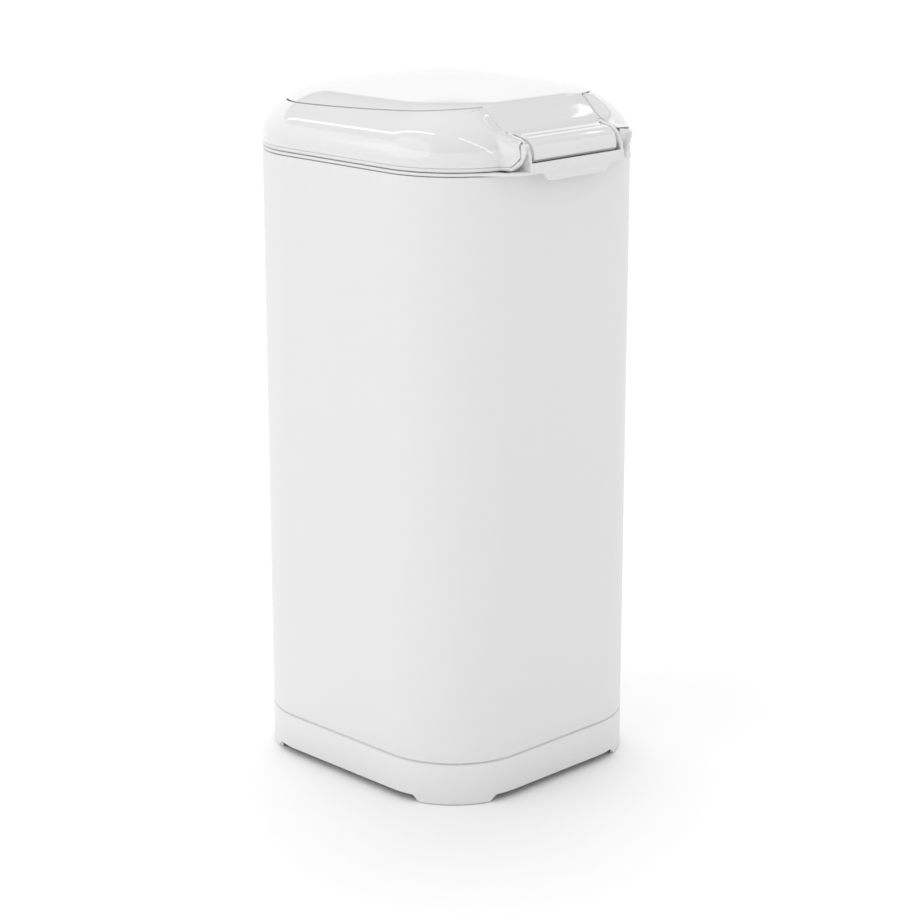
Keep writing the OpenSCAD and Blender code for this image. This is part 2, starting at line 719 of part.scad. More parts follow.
// Beside the hinge the skirt flares rearward
function fade(u) = u < 0 ? 1 : u < 0.8 ? 1 - u : pow(max(1.2 - u, 0), 2) / 0.8;
function flare(x, y, z, s = 0) = y < 0 ? 0
    : (flare_out + s) * smooth((seam_x + flare_reach - abs(x)) / flare_reach) * fade((z - flare_top) / flare_fade);

// The flare's lower edge rises on an arc about the hinge, so that it turns clear of the collar
function foot_z(y) = let(d = y - hinge_y)
    d < 0 ? skirt_z : max(skirt_z, hinge_z - sqrt(max(sweep_r * sweep_r - d * d, 0)));

// Surface point and its copy moved in by t
function lid_point(s, c, e, t) =
    let(p = contour(s, c, e), g = slope(s), n = [p[2] * g, p[3] * g, 1] / sqrt(g * g + 1),
        z = dome_z(s) - dip(p.x, p.y, s))
    [p.x, p.y + flare(p.x, p.y, z, s), z] - t * n;

function flip(p) = [-p.x, p.y, p.z];
function concat_all(lists) = [for (l = lists) each l];

// Closed thin solid from an outer and an inner sheet of rows by columns
module grid_solid(outer, inner) {
    rows = len(outer);
    cols = len(outer[0]);
    n = rows * cols;
    function at(i, j) = i * cols + j;
    sheet = [for (i = [0:rows - 2], j = [0:cols - 2]) each
        [[at(i, j), at(i + 1, j), at(i + 1, j + 1)], [at(i, j), at(i + 1, j + 1), at(i, j + 1)]]];
    edge = concat([for (j = [0:cols - 2]) at(0, j)], [for (i = [0:rows - 2]) at(i, cols - 1)],
        [for (j = [cols - 1:-1:1]) at(rows - 1, j)], [for (i = [rows - 1:-1:1]) at(i, 0)]);
    closed_solid(concat_all(outer), concat_all(inner), sheet, edge);
}

module closed_solid(outer, inner, sheet, edge) {
    n = len(outer);
    m = len(edge);
    rim = [for (k = [0:m - 1]) let(i = edge[k], j = edge[(k + 1) % m])
        each [[i, j, j + n], [i, j + n, i + n]]];
    polyhedron(concat(outer, inner), concat(sheet, rim, [for (f = sheet) [f[0] + n, f[2] + n, f[1] + n]]));
}

// Skirt: from its lower edge up to the groove, open at the rear
module lid_skirt() {
    levels = 7;
    gap = groove / 2;
    low = [for (k = [0, 0.3, 0.7, 1, 1.14, 1.28, 1.6, 2.1]) seam_s * k];
    // the lower rows end beside the hinge cheek, the upper ones along the ear and the rear panel
    function end_x(s) = s > 2.3 * seam_s ? part_x(s) + groove
        : lerp(seam_x, ear_x + ear_t + ear_gap, min(max((s / seam_s - 1) / 0.28, 0), 1));
    function column(c, t) = let(top = groove_s(c, -gap)) concat(
        [let(p = contour(0, c, end_x(0)), y = p.y + flare(p.x, p.y, skirt_z))
            [p.x - t * p[2], y - t * p[3], foot_z(y)]],
        [for (s = low) lid_point(s, c, end_x(s), t)],
        [for (j = [1:levels]) let(s = lerp(low[len(low) - 1], top, j / levels)) lid_point(s, c, end_x(s), t)]);
    function sheet(t) = concat(
        [for (c = [rear_n:half_n]) column(c, t)],
        [for (c = [half_n - 1:-1:rear_n]) [for (p = column(c, t)) flip(p)]]);
    color("white") grid_solid(sheet(0), sheet(shell_wall));
}

// Top cover: dome, rear panel and hinge barrel in one moulding
module lid_top_cover() {
    levels = 8;
    loop = 2 * half_n;
    side_rows = [for (t = [0.15, 0.3, 0.45, slot_t])
        [t, lerp(panel_half, slot_half, t / slot_t), t < slot_t ? 0 : slot_back]];
    slot_rows = [for (t = [slot_t + 0.01, slot_end]) [t, ear_x - 0.4, 0]];
    barrel_rows = [for (t = [slot_end + 0.02, 0.9, 1.05, 1.2, 1.35, 1.5, 1.65, 1.8, 2]) [t, barrel_half, 0]];
    rows = concat(side_rows, slot_rows, barrel_rows);
    function start(c) = groove_s(c, groove / 2);
    function dome_at(c, j, t) = let(s0 = start(c), s = lerp(s0, half_w - 1, j / levels))
        lid_point(s, c, part_x(s0) * half_x(s) / half_x(s0), t);
    function ring(j, t) = concat(
        [for (c = [0:half_n]) dome_at(c, j, t)],
        [for (c = [half_n - 1:-1:1]) flip(dome_at(c, j, t))]);
    function dome(t) = concat([for (j = [0:levels - 1]) each ring(j, t)], [[0, 0, lid_top - t]]);
    function strip(t) = [for (r = rows, k = [-rear_n:rear_n])
        let(u = r[0] - (t > 0 ? r[2] : 0), p = rear_curve(u) - t * rear_normal(u))
        [r[1] * k / rear_n, p.x, p.y]];
    tip = levels * loop;
    across = 2 * rear_n + 1;
    function at(j, c) = j * loop + (c + loop) % loop;
    function on(r, k) = r < 0 ? at(0, k) : tip + 1 + r * across + k + rear_n;
    cap = [for (j = [0:levels - 2], c = [0:loop - 1]) each
        [[at(j, c), at(j + 1, c + 1), at(j + 1, c)], [at(j, c), at(j, c + 1), at(j + 1, c + 1)]]];
    fan = [for (c = [0:loop - 1]) [at(levels - 1, c), at(levels - 1, c + 1), tip]];
    last = len(rows) - 1;
    panel = [for (r = [-1:last - 1], k = [-rear_n:rear_n - 1]) each
        [[on(r, k), on(r + 1, k + 1), on(r, k + 1)], [on(r, k), on(r + 1, k), on(r + 1, k + 1)]]];
    edge = concat([for (r = [-1:last - 1]) on(r, rear_n)],
        [for (k = [rear_n:-1:1 - rear_n]) on(last, k)], [for (r = [last:-1:0]) on(r, -rear_n)],
        [for (c = [loop - rear_n:-1:rear_n + 1]) at(0, c)]);
    color("white") {
        closed_solid(concat(dome(0), strip(0)), concat(dome(shell_wall), strip(shell_wall)),
            concat(cap, fan, panel), edge);
        cover_bosses();
    }
}

// Inset of the contour through a point
function inset_of(x, y, low = 0, high = half_w - 1, n = 20) = n == 0 ? low
    : let(m = (low + high) / 2, r = round_r(m), cx = half_x(m) - r, cy = half_y(m) - r)
        norm([max(x - cx, 0), max(y - cy, 0)]) < r ? inset_of(x, y, m, high, n - 1)
        : inset_of(x, y, low, m, n - 1);

// Bosses under the dome that stand on the pan's posts and take the screws
module cover_bosses() {
    boss_z = pan_z + post_h;
    roof_z = dome_z(inset_of(post_x, post_y)) - shell_wall / 2;
    for (p = post_spots) translate([p.x, p.y, boss_z]) difference() {
        cylinder(h = roof_z - boss_z, d = post_d - 2, $fn = small);
        translate([0, 0, -1]) cylinder(h = lid_screw_l - post_h + seat_h + 1.5, d = lid_screw_d, $fn = small);
    }
}

// Inside of the rear curve, for what the cover hides
module under_rear(clear) {
    steps = [for (t = [0.1:0.1:2]) rear_curve(t) - clear * rear_normal(t)];
    polygon(concat([[half_d - 60, pan_z], [half_d - 60, steps[0].y]], steps,
        [[half_d + 13 - clear, pan_z]]));
}

rib_spots = [-barrel_half + 2, -20, 20, barrel_half - 2];
pan_rear = hinge_y - 23.5;
post_in = 70;
post_x = half_w - post_in;
post_y = half_d - post_in;
post_spots = [for (x = [-1, 1], y = [-1, 1]) [x * post_x, y * post_y]];
post_d = 9;
post_h = 30;
seat_h = 25;
lid_screw_d = 3;
lid_screw_l = 12;

// Cheek outside each hinge ear: a recessed drum about the hinge with a round lip, under the skirt and a roof
module cheek() {
    inner = ear_x + ear_t + 0.6;
    width = cheek_out - inner;
    lip = 2.4;
    deep = 3;
    covered = [for (t = [0.1:0.1:0.5]) bezier(panel_curve, t) - (shell_wall + 0.5) * rear_normal(t)];
    under = [for (k = [2.2, 1.9, 1.6, 1.28, 1]) let(p = lid_point(seam_s * k, rear_n, cheek_out, shell_wall + 2.3))
        [p.y, p.z]];
    front = lid_point(1.28 * seam_s, rear_n, inner, 0).y + ear_gap;
    rear = lid_point(seam_s, rear_n, cheek_out, 0).y + ear_gap;
    roof = [[front, hinge_z + 3], [half_d + 12.5, hinge_z + 2.2], [half_d + 15.3, hinge_z + 1.4],
        [half_d + 16.6, hinge_z - 0.4], [half_d + 18, hinge_z - 4], [half_d + 20, rim_z - 4]];
    difference() {
        translate([inner, hinge_y, hinge_z]) rotate([0, 90, 0]) rotate_extrude($fn = fine) {
            square([cheek_r - lip / 2, width]);
            translate([cheek_r - lip / 2, width - lip / 2]) circle(lip / 2, $fn = small);
        }
        difference() {
            cross_rod(inner - 1, cheek_out - lip, hinge_y, hinge_z, 2 * cheek_r + 2);
            cross_rod(inner - 2, cheek_out, hinge_y, hinge_z + 1.5, 2 * (cheek_r - deep));
            translate([0, 0, hinge_z - 0.8]) linear_extrude(cheek_r)
                polygon([[inner - 2, front], [cheek_out, rear], [cheek_out, half_d + 20],
                    [cheek_out - lip, half_d + 20], [inner, half_d + 13], [inner - 2, half_d + 13]]);
        }
        // room under the top cover and the skirt
        difference() {
            side_plate(inner - 1, cheek_out + 1) polygon(concat(
                [[half_d - 40, hinge_z + 40], [half_d - 40, crease.y]], covered, under,
                [[half_d + 20, under[len(under) - 1].y], [half_d + 20, hinge_z + 40]]));
            translate([0, 0, hinge_z - 8]) linear_extrude(50)
                polygon([[inner - 2, front], [cheek_out, rear], [cheek_out + 2, rear], [cheek_out + 2, half_d + 20],
                    [inner - 2, half_d + 20]]);
        }
        side_plate(inner - 1, cheek_out + 1)
            polygon(concat([[front, hinge_z + 40]], roof, [[half_d + 30, rim_z - 4], [half_d + 30, hinge_z + 40]]));
    }
}

// The pan's rim follows the skirt's flare beside the hinge, and rises below its lower edge
module rim_flare() {
    start = cheek_out - 0.6;
    end = seam_x + flare_reach;
    plan = [for (x = [start:0.8:end]) [x, corner_edge(x) + flare(x, 1, rim_z)]];
    foot = [[end, half_d - 8], [start, half_d - 8]];
    reach = hinge_y + sqrt(pow(cheek_r, 2) - pow(hinge_z - rim_z, 2));
    translate([0, 0, rim_z]) linear_extrude(rim_h)
        polygon(concat(foot, [for (p = plan) [p.x, min(p.y, reach)]]));
    intersection() {
        translate([0, 0, rim_z]) linear_extrude(hinge_z - 6 - rim_z) polygon(concat(foot, plan));
        difference() {
            cross_rod(start, end, hinge_y, hinge_z, 2 * cheek_r);
            cross_rod(start - 1, end + 1, hinge_y, hinge_z, 2 * sweep_r + 0.4);
        }
    }
}

module lid_pan() {
    cheek_in = ear_x + ear_t + 0.6;
    color("white") difference() {
        union() {
            difference() {
                union() {
                    band(0, wall + 1, rim_z, rim_z + rim_h);
                    band(shell_wall + 0.7, 1.8, rim_z, shoulder_z + 2);
                    slab(shell_wall + 0.7, pan_z, pan_z + pan_t);
                }
                block([-seam_x, pan_rear, rim_z - 5], [seam_x, half_d + 20, shoulder_z + 20]);
            }
            block([-cheek_out, pan_rear - 2, pan_z], [cheek_out, pan_rear, hinge_z + 6]);
            for (x = rib_spots) side_plate(x - 1.4, x + 1.4) intersection() {
                under_rear(shell_wall + 0.2);
                translate([pan_rear - 1, pan_z]) square([60, 40]);
            }
            for (s = [-1, 1]) {
                mirror([s < 0 ? 1 : 0, 0, 0]) {
                    cheek();
                    rim_flare();
                    block([cheek_in, pan_rear - 1, pan_z], [cheek_out - 1, hinge_y - 8, hinge_z + 4.5]);
                }
            }
            side_plate(-3, 3) {
                translate([rod_y, lug_z]) circle(lug_end, $fn = small);
                polygon([[rod_y + 2.9, lug_z + 0.6], [rod_y + 4, lug_z + 12], [pan_rear - 1, lug_z + 12],
                    [pan_rear - 1, pan_z], [rod_y - 2.6, lug_z - 1.4]]);
            }
            for (p = post_spots) translate([p.x, p.y, pan_z]) cylinder(h = post_h, d = post_d, $fn = small);
        }
        cross_rod(-cheek_out + 1.6, cheek_out - 1.6, hinge_y, hinge_z, hinge_d + 2 * run);
        for (p = post_spots) translate([p.x, p.y, pan_z - 1]) {
            cylinder(h = seat_h + 1, d = 2 * lid_screw_d + 0.4, $fn = small);
            cylinder(h = post_h + 2, d = lid_screw_d + 2 * play, $fn = small);
        }
    }
}

module lid_gasket() {
    color("gainsboro") tube(seat_r + rim_bead + 1, seat_r - 1, band_top + 3.4 + hair, pan_z);
}

module lid_screws() {
    color("silver") for (p = post_spots) translate([p.x, p.y, pan_z + seat_h])
        screw(lid_screw_d, lid_screw_l);
}

base_plinth();
body_shell();
rubber_feet();
base_screws();
pedal_pivot_pin();
pedal_spring();
rod_guides();
guide_rivets();
pedal_lever();
pedal_pad();
push_rod();
rod_foot();
rod_head();
collar();
body_seal();
cassette_seat();
seat_screws();
throat_seal();
flap_pins();
hinge_pins();
cassette_case();
cassette_cap();
film_pack();
flap_left();
flap_right();
flap_spring_left();
flap_spring_right();
lid_pan();
lid_skirt();
lid_top_cover();
lid_gasket();
lid_screws();
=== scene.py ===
import json
import math

import bmesh
import bpy
import numpy as np
from mathutils import Matrix, Vector


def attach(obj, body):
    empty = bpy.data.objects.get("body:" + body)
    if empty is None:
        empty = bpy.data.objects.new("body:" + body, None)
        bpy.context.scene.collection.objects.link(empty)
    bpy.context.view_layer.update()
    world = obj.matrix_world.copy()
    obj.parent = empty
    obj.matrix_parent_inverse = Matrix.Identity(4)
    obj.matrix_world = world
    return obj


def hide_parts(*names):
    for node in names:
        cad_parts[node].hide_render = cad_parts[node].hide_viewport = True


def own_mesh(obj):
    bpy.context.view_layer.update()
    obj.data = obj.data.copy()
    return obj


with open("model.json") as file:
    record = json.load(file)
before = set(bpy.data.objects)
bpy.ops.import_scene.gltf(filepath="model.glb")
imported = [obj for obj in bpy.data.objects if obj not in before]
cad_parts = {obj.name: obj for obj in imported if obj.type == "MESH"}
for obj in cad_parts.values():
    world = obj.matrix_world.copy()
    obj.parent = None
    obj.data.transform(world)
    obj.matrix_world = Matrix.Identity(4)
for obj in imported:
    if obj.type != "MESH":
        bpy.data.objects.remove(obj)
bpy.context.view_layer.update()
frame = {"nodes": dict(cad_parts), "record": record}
cad = frame["nodes"]
print("frame loaded:", len(cad), "nodes")

mm = 0.001


# ---- camera, light and floor ----

shot = {
    "place": (1.46186, 1.49321, 0.83970),
    "aim": (-0.67732, -0.68416, -0.27048),
    "right": (-0.71065, 0.70354, 0.0),
    "lens": 99.69,
    "sensor": 36.0,
}


def addCamera():
    aim = Vector(shot["aim"]).normalized()
    right = Vector(shot["right"]).normalized()
    up = right.cross(aim)
    camera = bpy.data.objects.new("camera", bpy.data.cameras.new("camera"))
    bpy.context.scene.collection.objects.link(camera)
    camera.data.lens = shot["lens"]
    camera.data.sensor_width = shot["sensor"]
    camera.data.clip_end = 60
    turn = Matrix((right, up, -aim)).transposed()
    camera.matrix_world = Matrix.Translation(shot["place"]) @ turn.to_4x4()
    bpy.context.scene.camera = camera


studio = {
    "skyStrength": 0.80,
    # what the camera and reflections see, below and above the wall's top
    "wallShown": 1.0, "ceilingShown": 0.28,
    "wallTop": (27.5, 32.5),    # degrees up from the floor, start and end of the change
    "floorColour": 0.80,        # what the floor throws back on the bin
    "floorShown": 0.992,        # what the camera sees
    "floorSide": 20.0,
    # name: where it comes from, strength, angle in degrees, whether gloss mirrors it
    "suns": {
        "side": ((1.0, -0.35, 0.5), 0.45, 60.0, True),
        "back": ((-0.8, -0.9, 2.7), 0.62, 36.0, False),
    },
    # name: middle, what it faces, direction of its long side, length, breadth, power in watts
    "lamps": {
        "stripMiddle": ((0.94, -1.13, 2.55), (0.11, 0.05, 0.54), (-0.37, 2.4, 0.0), 2.43, 0.10, 2.2),
        "stripRear": ((0.20, 2.07, 2.55), (0.09, 0.12, 0.54), (-0.66, 2.67, 0.0), 2.75, 0.10, 3.0),
        "rear": ((-2.24, 0.047, 2.603), (-0.047, 0.112, 0.557), (0.0, 1.0, 0.0), 0.55, 0.026, 0.16),
    },
}


def addLamp(name, kind, energy, turn, place=(0, 0, 0)):
    lamp = bpy.data.lights.new(name, kind)
    lamp.energy = energy
    holder = bpy.data.objects.new(name, lamp)
    bpy.context.scene.collection.objects.link(holder)
    holder.matrix_world = Matrix.Translation(place) @ turn.to_4x4()
    return holder


def addLamps():
    for name, (origin, strength, angle, mirrored) in studio["suns"].items():
        holder = addLamp(name, "SUN", strength, Vector(origin).to_track_quat("Z", "Y").to_matrix())
        holder.data.angle = math.radians(angle)
        holder.visible_glossy = mirrored
    for name, (place, target, along, length, breadth, power) in studio["lamps"].items():
        back = (Vector(place) - Vector(target)).normalized()
        side = (Vector(along) - back * back.dot(Vector(along))).normalized()
        turn = Matrix((side, back.cross(side), back)).transposed()
        lamp = addLamp(name, "AREA", power, turn, place).data
        lamp.shape = "RECTANGLE"
        lamp.size, lamp.size_y = length, breadth


def seenRays(tree):
    # 1 for what the camera, a reflection or clear plastic sees directly, 0 for light that falls on the bin
    path = tree.nodes.new("ShaderNodeLightPath")
    total = path.outputs["Is Camera Ray"]
    for label in ("Is Glossy Ray", "Is Transmission Ray"):
        add = tree.nodes.new("ShaderNodeMath")
        add.use_clamp = True
        tree.links.new(total, add.inputs[0])
        tree.links.new(path.outputs[label], add.inputs[1])
        total = add.outputs[0]
    return total


def addSky():
    world = bpy.data.worlds.new("studio")
    bpy.context.scene.world = world
    world.use_nodes = True
    tree = world.node_tree
    tree.nodes.clear()
    out = tree.nodes.new("ShaderNodeOutputWorld")
    light = tree.nodes.new("ShaderNodeBackground")
    light.inputs["Color"].default_value = (1, 1, 1, 1)
    light.inputs["Strength"].default_value = studio["skyStrength"]
    shown = tree.nodes.new("ShaderNodeBackground")
    shown.inputs["Color"].default_value = (1, 1, 1, 1)
    place = tree.nodes.new("ShaderNodeTexCoord")
    parts = tree.nodes.new("ShaderNodeSeparateXYZ")
    height = tree.nodes.new("ShaderNodeMapRange")
    height.interpolation_type = "SMOOTHSTEP"
    low, high = (math.sin(math.radians(angle)) for angle in studio["wallTop"])
    for label, value in (("From Min", low), ("From Max", high), ("To Min", studio["wallShown"]),
            ("To Max", studio["ceilingShown"])):
        height.inputs[label].default_value = value
    tree.links.new(place.outputs["Generated"], parts.inputs[0])
    tree.links.new(parts.outputs["Z"], height.inputs["Value"])
    tree.links.new(height.outputs["Result"], shown.inputs["Strength"])
    mix = tree.nodes.new("ShaderNodeMixShader")
    tree.links.new(seenRays(tree), mix.inputs[0])
    tree.links.new(light.outputs[0], mix.inputs[1])
    tree.links.new(shown.outputs[0], mix.inputs[2])
    tree.links.new(mix.outputs[0], out.inputs["Surface"])


def addFloor():
    side = studio["floorSide"]
    corners = np.array([[-side, -side, 0], [side, -side, 0], [side, side, 0], [-side, side, 0]])
    mesh = bpy.data.meshes.new("floor")
    mesh.from_pydata(corners.tolist(), [], [[0, 1, 2, 3]])
    floor = bpy.data.objects.new("floor", mesh)
    bpy.context.scene.collection.objects.link(floor)
    material = bpy.data.materials.new("pale floor")
    material.use_nodes = True
    tree = material.node_tree
    tree.nodes.clear()
    out = tree.nodes.new("ShaderNodeOutputMaterial")
    real = tree.nodes.new("ShaderNodeBsdfDiffuse")
    real.inputs["Color"].default_value = (*[studio["floorColour"]] * 3, 1)
    shown = tree.nodes.new("ShaderNodeBsdfDiffuse")
    shown.inputs["Color"].default_value = (*[studio["floorShown"]] * 3, 1)
    mix = tree.nodes.new("ShaderNodeMixShader")
    tree.links.new(seenRays(tree), mix.inputs[0])
    tree.links.new(real.outputs[0], mix.inputs[1])
    tree.links.new(shown.outputs[0], mix.inputs[2])
    tree.links.new(mix.outputs[0], out.inputs["Surface"])
    mesh.materials.append(material)


addCamera()
addLamps()
addSky()
addFloor()
bpy.context.scene.view_settings.view_transform = "Standard"
print("studio ready")


# ---- materials ----

def newGroup(name, inputs, outputs):
    group = bpy.data.node_groups.new(name, "ShaderNodeTree")
    for label, kind, value in inputs:
        socket = group.interface.new_socket(label, in_out="INPUT", socket_type=kind)
        if value is not None:
            socket.default_value = value
    for label, kind in outputs:
        group.interface.new_socket(label, in_out="OUTPUT", socket_type=kind)
    return group, group.nodes.new("NodeGroupInput"), group.nodes.new("NodeGroupOutput")


def mathNode(tree, operation, a, b=None):
    node = tree.nodes.new("ShaderNodeMath")
    node.operation = operation
    for socket, value in zip(node.inputs, (a, b)):
        if isinstance(value, (int, float)):
            socket.default_value = value
        elif value is not None:
            tree.links.new(value, socket)
    return node.outputs[0]


def noiseNode(tree, vector, scale, detail=2.0, roughness=0.5):
    node = tree.nodes.new("ShaderNodeTexNoise")
    node.inputs["Detail"].default_value = detail
    node.inputs["Roughness"].default_value = roughness
    tree.links.new(vector, node.inputs["Vector"])
    if isinstance(scale, (int, float)):
        node.inputs["Scale"].default_value = scale
    else:
        tree.links.new(scale, node.inputs["Scale"])
    return node.outputs["Fac"]


def grainGroup():
    # fine even grain with slow clouds: height for the bump, cloud for tone and gloss
    group, start, end = newGroup("grain", [
        ("Vector", "NodeSocketVector", None), ("Grain Scale", "NodeSocketFloat", 900.0),
        ("Cloud Scale", "NodeSocketFloat", 9.0), ("Cloud Share", "NodeSocketFloat", 0.2),
    ], [("Height", "NodeSocketFloat"), ("Cloud", "NodeSocketFloat")])
    fine = noiseNode(group, start.outputs["Vector"], start.outputs["Grain Scale"], 3.0, 0.6)
    slow = noiseNode(group, start.outputs["Vector"], start.outputs["Cloud Scale"], 4.0, 0.55)
    share = mathNode(group, "MULTIPLY", slow, start.outputs["Cloud Share"])
    group.links.new(mathNode(group, "ADD", fine, share), end.inputs["Height"])
    group.links.new(slow, end.inputs["Cloud"])
    return group


def brushGroup():
    # long thin streaks: noise stretched along one direction
    group, start, end = newGroup("brushed", [
        ("Vector", "NodeSocketVector", None), ("Stretch", "NodeSocketVector", (1, 1, 1)),
        ("Scale", "NodeSocketFloat", 600.0),
    ], [("Height", "NodeSocketFloat"), ("Cloud", "NodeSocketFloat")])
    stretch = group.nodes.new("ShaderNodeVectorMath")
    stretch.operation = "MULTIPLY"
    group.links.new(start.outputs["Vector"], stretch.inputs[0])
    group.links.new(start.outputs["Stretch"], stretch.inputs[1])
    streaks = noiseNode(group, stretch.outputs[0], start.outputs["Scale"], 4.0, 0.6)
    slow = noiseNode(group, start.outputs["Vector"], 25.0, 3.0)
    group.links.new(streaks, end.inputs["Height"])
    group.links.new(slow, end.inputs["Cloud"])
    return group


def pleatGroup():
    # fine folds round the upright axis: a sine of the angle with a little noise
    group, start, end = newGroup("pleats", [
        ("Vector", "NodeSocketVector", None), ("Folds", "NodeSocketFloat", 160.0),
    ], [("Height", "NodeSocketFloat"), ("Cloud", "NodeSocketFloat")])
    parts = group.nodes.new("ShaderNodeSeparateXYZ")
    group.links.new(start.outputs["Vector"], parts.inputs[0])
    angle = mathNode(group, "ARCTAN2", parts.outputs["Y"], parts.outputs["X"])
    slow = noiseNode(group, start.outputs["Vector"], 90.0, 3.0)
    wavy = mathNode(group, "ADD", angle, mathNode(group, "MULTIPLY", slow, 0.05))
    wave = mathNode(group, "SINE", mathNode(group, "MULTIPLY", wavy, start.outputs["Folds"]))
    group.links.new(wave, end.inputs["Height"])
    group.links.new(slow, end.inputs["Cloud"])
    return group


groups = {"grain": grainGroup(), "brushed": brushGroup(), "pleats": pleatGroup()}

# finish: slot, group, group values, pale colour, deep colour, roughness range, bump strength and depth,
# shader constants
finishes = {
    "satinMoulding": ("satin_plastic", "grain", {"Grain Scale": 1400.0, "Cloud Scale": 7.0},
        (0.86, 0.86, 0.86), (0.845, 0.845, 0.845), (0.34, 0.44), (0.25, 0.00003), {}),
    "powderCoat": ("white_steel", "grain", {"Grain Scale": 620.0, "Cloud Scale": 5.0},
        (0.865, 0.865, 0.865), (0.855, 0.855, 0.855), (0.36, 0.42), (0.3, 0.00003), {}),
    "glossMoulding": ("gloss_white", "grain", {"Grain Scale": 60.0, "Cloud Scale": 16.0},
        (0.845, 0.845, 0.845), (0.835, 0.835, 0.835), (0.04, 0.08), (0.05, 0.00005),
        {"Coat Weight": 1.0, "Coat Roughness": 0.03}),
    "footRubber": ("foot_rubber", "grain", {"Grain Scale": 1800.0},
        (0.05, 0.05, 0.05), (0.035, 0.035, 0.035), (0.6, 0.8), (0.4, 0.00005), {}),
    "brightSteel": ("bright_steel", "brushed", {"Stretch": (1.0, 0.04, 0.04), "Scale": 900.0},
        (0.62, 0.63, 0.64), (0.5, 0.51, 0.52), (0.22, 0.38), (0.2, 0.00002), {"Metallic": 1.0}),
    "springWire": ("spring_steel", "brushed", {"Stretch": (0.3, 0.3, 1.0), "Scale": 1400.0},
        (0.52, 0.52, 0.54), (0.4, 0.4, 0.42), (0.2, 0.34), (0.2, 0.00002), {"Metallic": 1.0}),
    "bearingPlastic": ("natural_plastic", "grain", {"Grain Scale": 1000.0},
        (0.72, 0.71, 0.66), (0.66, 0.65, 0.6), (0.32, 0.45), (0.25, 0.00003), {}),
    "sealRubber": ("seal_rubber", "grain", {"Grain Scale": 1500.0},
        (0.66, 0.66, 0.66), (0.62, 0.62, 0.62), (0.55, 0.7), (0.35, 0.00004), {}),
    "innerMoulding": ("inner_plastic", "grain", {"Grain Scale": 1100.0},
        (0.7, 0.71, 0.72), (0.66, 0.67, 0.68), (0.35, 0.5), (0.3, 0.00004), {}),
    "cassetteMoulding": ("cassette_plastic", "grain", {"Grain Scale": 700.0},
        (0.55, 0.72, 0.84), (0.5, 0.68, 0.81), (0.14, 0.24), (0.12, 0.00004), {}),
    "pleatedFilm": ("film", "pleats", {"Folds": 180.0},
        (0.82, 0.87, 0.92), (0.7, 0.78, 0.86), (0.18, 0.32), (0.8, 0.0005), {}),
}


def makeFinish(name):
    slot, groupName, groupValues, pale, deep, gloss, bumpSize, constants = finishes[name]
    material = bpy.data.materials.new(name)
    material.use_nodes = True
    tree = material.node_tree
    shader = tree.nodes["Principled BSDF"]
    place = tree.nodes.new("ShaderNodeTexCoord")
    surface = tree.nodes.new("ShaderNodeGroup")
    surface.node_tree = groups[groupName]
    tree.links.new(place.outputs["Object"], surface.inputs["Vector"])
    for label, value in groupValues.items():
        surface.inputs[label].default_value = value
    tone = tree.nodes.new("ShaderNodeMix")
    tone.data_type = "RGBA"
    tone.inputs["A"].default_value = (*deep, 1)
    tone.inputs["B"].default_value = (*pale, 1)
    tree.links.new(surface.outputs["Cloud"], tone.inputs["Factor"])
    tree.links.new(tone.outputs["Result"], shader.inputs["Base Color"])
    spread = tree.nodes.new("ShaderNodeMapRange")
    spread.inputs["From Min"].default_value = 0.3
    spread.inputs["From Max"].default_value = 0.7
    spread.inputs["To Min"].default_value, spread.inputs["To Max"].default_value = gloss
    tree.links.new(surface.outputs["Cloud"], spread.inputs["Value"])
    tree.links.new(spread.outputs["Result"], shader.inputs["Roughness"])
    bump = tree.nodes.new("ShaderNodeBump")
    bump.inputs["Strength"].default_value, bump.inputs["Distance"].default_value = bumpSize
    tree.links.new(surface.outputs["Height"], bump.inputs["Height"])
    tree.links.new(bump.outputs["Normal"], shader.inputs["Normal"])
    for label, value in constants.items():
        shader.inputs[label].default_value = value
    return material


materials = {name: makeFinish(name) for name in finishes}
slotFinish = {finishes[name][0]: name for name in finishes}


def dress(piece, finish):
    piece.data.materials.clear()
    piece.data.materials.append(materials[finish])


for part in frame["record"]["subparts"]:
    dress(cad[part["node"]], slotFinish[part["material_slot"]])
print("materials ready:", len(materials))


# ---- mesh helpers ----

def makePiece(name, points, faces, body, replaced, finish, bevel=None):
    # points in mm; faces is an array of quads, or a list of faces of any size
    mesh = bpy.data.meshes.new(name)
    mesh.from_pydata((np.asarray(points) * mm).tolist(), [], [list(f) for f in faces])
    mesh.update()
    piece = bpy.data.objects.new(name, mesh)
    bpy.context.scene.collection.objects.link(piece)
    finishPiece(piece, body, replaced, finish, bevel)
    return piece


def finishPiece(piece, body, replaced, finish, bevel, sharpAngle=35):
    mesh = piece.data
    shape = bmesh.new()
    shape.from_mesh(mesh)
    bmesh.ops.remove_doubles(shape, verts=shape.verts, dist=1e-7)
    bmesh.ops.recalc_face_normals(shape, faces=shape.faces)
    shape.to_mesh(mesh)
    shape.free()
    mesh.shade_smooth()
    if bevel:
        edge = piece.modifiers.new("soft edges", "BEVEL")
        edge.width = bevel * mm
        edge.segments = 3
        edge.limit_method = "ANGLE"
        edge.angle_limit = math.radians(sharpAngle)
        edge.use_clamp_overlap = False
        edge.harden_normals = True
    dress(piece, finish)
    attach(piece, body)
    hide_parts(*replaced)


def gridFaces(rows, cols, closeRows=False, closeCols=False):
    # quads over rows x cols points, numbered row by row
    i = np.arange(rows if closeRows else rows - 1)
    j = np.arange(cols if closeCols else cols - 1)
    i, j = np.meshgrid(i, j, indexing="ij")
    i2, j2 = (i + 1) % rows, (j + 1) % cols
    quads = np.stack([i * cols + j, i * cols + j2, i2 * cols + j2, i2 * cols + j], axis=-1)
    return quads.reshape(-1, 4)


